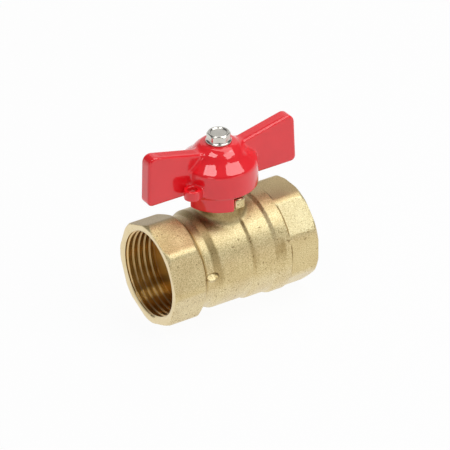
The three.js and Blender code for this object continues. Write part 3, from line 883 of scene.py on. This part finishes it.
# Handle
SKIRT_FOOT, SKIRT_RADIUS, HUB_TOP = 29.4, 14.1, 46.0
WING_REACH, WING_TIP, WING_FOOT, WING_TOP = 31.2, 30.4, 29.45, 49.4
WING_ROOT, WING_HEEL, WING_HEEL_TOP, WING_HALF = 5.0, 9.0, 44.4, 2.75
APRON_FOOT, APRON_INSIDE, APRON_OUTSIDE = 24.0, 11.9, 13.85
APRON_FIRST, APRON_LAST = math.radians(-98.2), math.radians(-171.8)
EYE_ANGLE, EYE_REACH, EYE_RADIUS, EYE_HOLE = math.radians(-157), 16.5, 3.1, 1.75
EYE_HEIGHT, EYE_HALF = 32.25, 1.85
SCREW_HOLE = 2.8
DRIVE_RADIUS, DRIVE_HALF, DRIVE_TOP = 5.1, 3.6, 43.4


def handle_form():
    # The dome between the shoulder and the screw's seat, as height and radius.
    dome = [
        (38.5, SKIRT_RADIUS), (40.6, 11.7), (41.9, 10.3), (42.6, 9.72), (43.3, 9.2), (44.1, 8.5),
        (44.9, 7.6), (45.5, 6.8), (45.85, 6.0)]
    hub = Outline(
        [(SKIRT_FOOT, 0), (SKIRT_FOOT, SKIRT_RADIUS)] + dome + [(HUB_TOP, 5.2), (HUB_TOP, 0)],
        [0, 0.5, 2.3, 2, 2, 2, 2, 2, 1, 1, 0.5, 0.5, 0], turned=True, step=0.05)
    hollow = Outline(
        [(20, 0), (20, APRON_INSIDE), (37.6, APRON_INSIDE), (41.2, 7.2), (33.1, 7.2), (33.1, 0)],
        [0, 0, 1.0, 1.0, 0.5, 0], turned=True)
    slope = (WING_TOP - WING_HEEL_TOP) / (WING_TIP - WING_HEEL)
    root_top = WING_HEEL_TOP + slope * (WING_ROOT - WING_HEEL)
    wing = Outline(
        [(WING_ROOT, WING_FOOT), (WING_REACH, WING_FOOT), (WING_TIP, WING_TOP), (WING_ROOT, root_top)],
        [0, 2.0, 3.0, 0])
    apron = Outline(
        [(APRON_FOOT, APRON_INSIDE), (APRON_FOOT, APRON_OUTSIDE), (30.6, APRON_OUTSIDE),
         (30.6, APRON_INSIDE)],
        [0.4, 0.4, 0, 0])
    middle, half = (APRON_FIRST + APRON_LAST) / 2, (APRON_FIRST - APRON_LAST) / 2

    def field(p):
        x, y, z = p[:, 0], p[:, 1], p[:, 2]
        away = np.hypot(x, y)
        wings = pulled(wing(np.abs(x), z), y, WING_HALF, 0.95)
        whole = join(hub(z, away), wings, 1.1)
        turned = np.arctan2(y, x) - EYE_ANGLE
        along, across = away * np.cos(turned), away * np.sin(turned)
        ring = np.hypot(along - EYE_REACH, across) - EYE_RADIUS
        lug = np.maximum(np.abs(across) - EYE_RADIUS, along - EYE_REACH)
        lug = np.maximum(lug, 9 - along)
        eye = pulled(np.minimum(ring, lug), z - EYE_HEIGHT, EYE_HALF, 0.38)
        whole = join(whole, eye, 0.8)
        angle = np.arctan2(y, x) - middle
        angle = np.abs((angle + math.pi) % (2 * math.pi) - math.pi)
        side = away * np.sin(np.minimum(angle - half, math.pi / 2))
        skirt = common(apron(z, away), side, 0.7)
        whole = common(whole, -hollow(z, away), 0.35)
        whole = join(whole, skirt, 0.08)
        hole = np.hypot(along - EYE_REACH, across) - EYE_HOLE
        return common(whole, -hole, 0.3)

    return field, (-WING_REACH, -20, APRON_FOOT), (WING_REACH, 20, WING_TOP)


def flat_sided(low, high, radius, half, sides=64):
    """A round bar with two flats, along Z."""
    ring = []
    for k in range(sides):
        a = 2 * math.pi * k / sides
        ring.append((radius * math.cos(a), max(-half, min(half, radius * math.sin(a)))))
    vertices = [(x, y, low) for x, y in ring] + [(x, y, high) for x, y in ring]
    faces = [(k, (k + 1) % sides, sides + (k + 1) % sides, sides + k) for k in range(sides)]
    faces += [tuple(reversed(range(sides))), tuple(range(sides, 2 * sides))]
    return outward(np.array(vertices), faces)


def build_handle():
    handle = solid_piece("butterfly_handle", handle_form(), GRID, (ENAMEL,))
    screw_hole = bar(30, HUB_TOP + OVERRUN, SCREW_HOLE)
    cut_with(handle, turned_cutter("screw_hole", screw_hole, 48, "Z", (ENAMEL,)))
    vertices, faces = flat_sided(30, DRIVE_TOP, DRIVE_RADIUS, DRIVE_HALF)
    cut_with(handle, mesh_object("drive_hole", vertices, faces, (ENAMEL,)))
    shade(handle, 40)
    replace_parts(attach(handle, "turning_set"), "handle")


# Handle screw
SCREW_SEAT, SCREW_TOP, SCREW_FOOT = 46.05, 49.75, 37.05
HEAD_RADIUS, HEAD_FLATS, DISH_RADIUS, FLANGE_RADIUS, SHANK_RADIUS = 4.36, 8.0, 2.8, 4.75, 2.4


def screw_head():
    dish, chamfer = SCREW_TOP - 0.4, 0.6
    cap = Outline([
        (SCREW_SEAT, 0), (SCREW_SEAT, HEAD_RADIUS), (SCREW_TOP - chamfer, HEAD_RADIUS),
        (SCREW_TOP, HEAD_RADIUS - chamfer), (SCREW_TOP, DISH_RADIUS + 0.4), (dish, DISH_RADIUS), (dish, 0)],
        [0, 0, 0.25, 0.15, 0.12, 0.3, 0], turned=True, step=0.04)
    flange = Outline([
        (SCREW_SEAT, 0), (SCREW_SEAT, FLANGE_RADIUS), (46.65, FLANGE_RADIUS), (47.3, 4.0), (47.3, 0)],
        [0, 0.12, 0.3, 0, 0], turned=True, step=0.04)
    shank = Outline([
        (SCREW_FOOT, 0), (SCREW_FOOT, SHANK_RADIUS - 0.3), (37.5, SHANK_RADIUS), (46.4, SHANK_RADIUS),
        (46.4, 0)],
        [0, 0.1, 0.1, 0, 0], turned=True, step=0.04)

    def field(p):
        x, y, z = p[:, 0], p[:, 1], p[:, 2]
        away = np.hypot(x, y)
        head = common(cap(z, away), regular(x, y, 6, HEAD_FLATS, math.radians(-91.6), 0.2), 0.12)
        return join(join(head, flange(z, away), 0.2), shank(z, away), 0.05)

    return field, (-4.8, -4.8, 37.0), (4.8, 4.8, SCREW_TOP)


def build_screw():
    screw = solid_piece("hex_screw", screw_head(), 0.13, (NICKEL,))
    shade(screw, 50)
    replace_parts(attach(screw, "turning_set"), "handle_screw")


# Ball
BALL, SLOT_WIDTH, SLOT_LENGTH, SLOT_DEPTH = 14.9, 3.4, 12.0, 3.3


def build_ball():
    turn = [math.pi * i / 72 for i in range(73)]
    vertices, faces = lathe([(-BALL * math.cos(a), BALL * math.sin(a)) for a in turn], 144)
    ball = mesh_object("chromed_ball", vertices, faces, (CHROME,))
    waterway = bar(-BALL - OVERRUN, BALL + OVERRUN, WATERWAY)
    cut_with(ball, turned_cutter("waterway", waterway, 96, "X", (CHROME,), 0))
    slot = bevelled_block(
        "stem_slot", (-SLOT_WIDTH / 2, -SLOT_LENGTH / 2, BALL - SLOT_DEPTH),
        (SLOT_WIDTH / 2, SLOT_LENGTH / 2, BALL + 1), 0.01, (CHROME,))
    slot.data.polygons.foreach_set("material_index", np.zeros(len(slot.data.polygons), np.int32))
    cut_with(ball, slot)
    shade(ball, 30)
    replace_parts(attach(ball, "turning_set"), "ball")


build_body()
build_connector()
build_handle()
build_screw()
build_ball()


# Pieces carried over from the solids
CARRIED = {
    "body_seal": RUBBER, "stem_seal": RUBBER, "seat_ring_inlet": PTFE, "seat_ring_outlet": PTFE,
    "thrust_washer": PTFE, "packing_ring_lower": PTFE, "packing_ring_upper": PTFE, "stem": TURNED,
    "packing_nut": TURNED}
for name, material in CARRIED.items():
    nodes[name].data.materials.clear()
    nodes[name].data.materials.append(material)


# Camera
PHOTO_WIDTH_PX, FOCAL_PX, SENSOR = 450.0, 3467.65, 36.0
CAMERA_DISTANCE, SHIFT_X, SHIFT_Y = 1260.0, 1.761, 9.235


def camera():
    """The photograph's camera, fitted to the octagons and the bores."""
    azimuth, elevation, roll = math.radians(-31.586), math.radians(31.370), math.radians(-0.710)
    back = Vector((
        math.sin(azimuth) * math.cos(elevation), -math.cos(azimuth) * math.cos(elevation),
        math.sin(elevation)))
    right = Vector((math.cos(azimuth), math.sin(azimuth), 0))
    up = back.cross(right)
    c, s = math.cos(roll), math.sin(roll)
    right, up = c * right + s * up, -s * right + c * up
    at = back * CAMERA_DISTANCE + right * SHIFT_X + up * SHIFT_Y + Vector((0, 0, AXIS_HEIGHT))
    data = bpy.data.cameras.new("photo_camera")
    data.sensor_width = SENSOR
    data.lens = SENSOR * FOCAL_PX / PHOTO_WIDTH_PX
    data.clip_start, data.clip_end = 0.05, 20.0
    obj = bpy.data.objects.new("photo_camera", data)
    bpy.context.scene.collection.objects.link(obj)
    turned = Matrix((right, up, back)).transposed().to_4x4()
    obj.matrix_world = Matrix.Translation(at * MM) @ turned
    bpy.context.scene.camera = obj


# World, floor and lamps
FLOOR_HALF = 1.6
FLOOR_SEEN = 0.95
LAMP_DISTANCE = 0.9
LAMP_CENTRE = Vector((0, 0, 0.04))


def studio_world():
    """A white ring round the horizon and a dim room above it."""
    world = bpy.data.worlds.new("studio")
    bpy.context.scene.world = world
    world.use_nodes = True
    tree = world.node_tree
    tree.nodes.clear()
    output = tree.nodes.new("ShaderNodeOutputWorld")
    place = tree.nodes.new("ShaderNodeTexCoord")
    split = tree.nodes.new("ShaderNodeSeparateXYZ")
    tree.links.new(place.outputs["Generated"], split.inputs[0])
    room = ramp(tree, split.outputs["Z"], [
        (0.0, WHITE), (0.08, (0.8, 0.8, 0.8)), (0.30, (0.14, 0.14, 0.145)), (1.0, (0.12, 0.12, 0.125))])
    light = add(tree, "ShaderNodeBackground")
    tree.links.new(room, light.inputs["Color"])
    tree.links.new(light.outputs[0], output.inputs["Surface"])


def studio_floor():
    """A floor that the camera, metal and glass see as nearly white, and that keeps the shadow."""
    material, tree, shader = new_material("pale_floor")
    shader.inputs["Base Color"].default_value = (0.85, 0.85, 0.85, 1)
    shader.inputs["Roughness"].default_value = 1.0
    output = tree.nodes["Material Output"]
    path = tree.nodes.new("ShaderNodeLightPath").outputs
    seen = calculated(tree, "ADD", path["Is Camera Ray"], path["Is Transmission Ray"], clamp=True)
    seen = calculated(tree, "ADD", seen, path["Is Glossy Ray"], clamp=True)
    glow = add(tree, "ShaderNodeEmission")
    glow.inputs["Color"].default_value = (1, 1, 1, 1)
    mix = tree.nodes.new("ShaderNodeMixShader")
    tree.links.new(times(tree, seen, FLOOR_SEEN), mix.inputs[0])
    tree.links.new(shader.outputs[0], mix.inputs[1])
    tree.links.new(glow.outputs[0], mix.inputs[2])
    tree.links.new(mix.outputs[0], output.inputs["Surface"])
    corners = [(x * FLOOR_HALF, y * FLOOR_HALF, 0) for x, y in ((-1, -1), (1, -1), (1, 1), (-1, 1))]
    mesh = bpy.data.meshes.new("floor")
    mesh.from_pydata(corners, [], [(0, 1, 2, 3)])
    mesh.materials.append(material)
    floor = bpy.data.objects.new("floor", mesh)
    bpy.context.scene.collection.objects.link(floor)


def softbox(name, azimuth, elevation, width, height, radiance, roll=0.0):
    """A lamp at an azimuth (0 is the front, 90 the outlet) and elevation, its size in degrees."""
    a, e = math.radians(azimuth), math.radians(elevation)
    away = Vector((math.sin(a) * math.cos(e), -math.cos(a) * math.cos(e), math.sin(e)))
    data = bpy.data.lights.new(name, "AREA")
    data.shape = "RECTANGLE"
    data.size = 2 * LAMP_DISTANCE * math.tan(math.radians(width / 2))
    data.size_y = 2 * LAMP_DISTANCE * math.tan(math.radians(height / 2))
    data.energy = radiance * math.pi * data.size * data.size_y
    obj = bpy.data.objects.new(name, data)
    bpy.context.scene.collection.objects.link(obj)
    across = Vector((-away.y, away.x, 0)).normalized()
    upright = away.cross(across)
    c, s = math.cos(math.radians(roll)), math.sin(math.radians(roll))
    across, upright = c * across + s * upright, -s * across + c * upright
    turned = Matrix((across, upright, away)).transposed().to_4x4()
    obj.matrix_world = Matrix.Translation(away * LAMP_DISTANCE + LAMP_CENTRE) @ turned


camera()
studio_world()
studio_floor()
softbox("key", 38, 53, 38, 21, 3.9, roll=-18)
softbox("left_box", -76, 63, 24, 14, 5.0)
softbox("front_box", -56, 23, 14, 14, 2.2)
softbox("low_box", 22, 14, 34, 12, 0.75)
softbox("back_box", 148, 30, 60, 26, 0.6)
softbox("top_box", 105, 70, 50, 34, 2.1)

scene = bpy.context.scene
scene.view_settings.view_transform = "Standard"
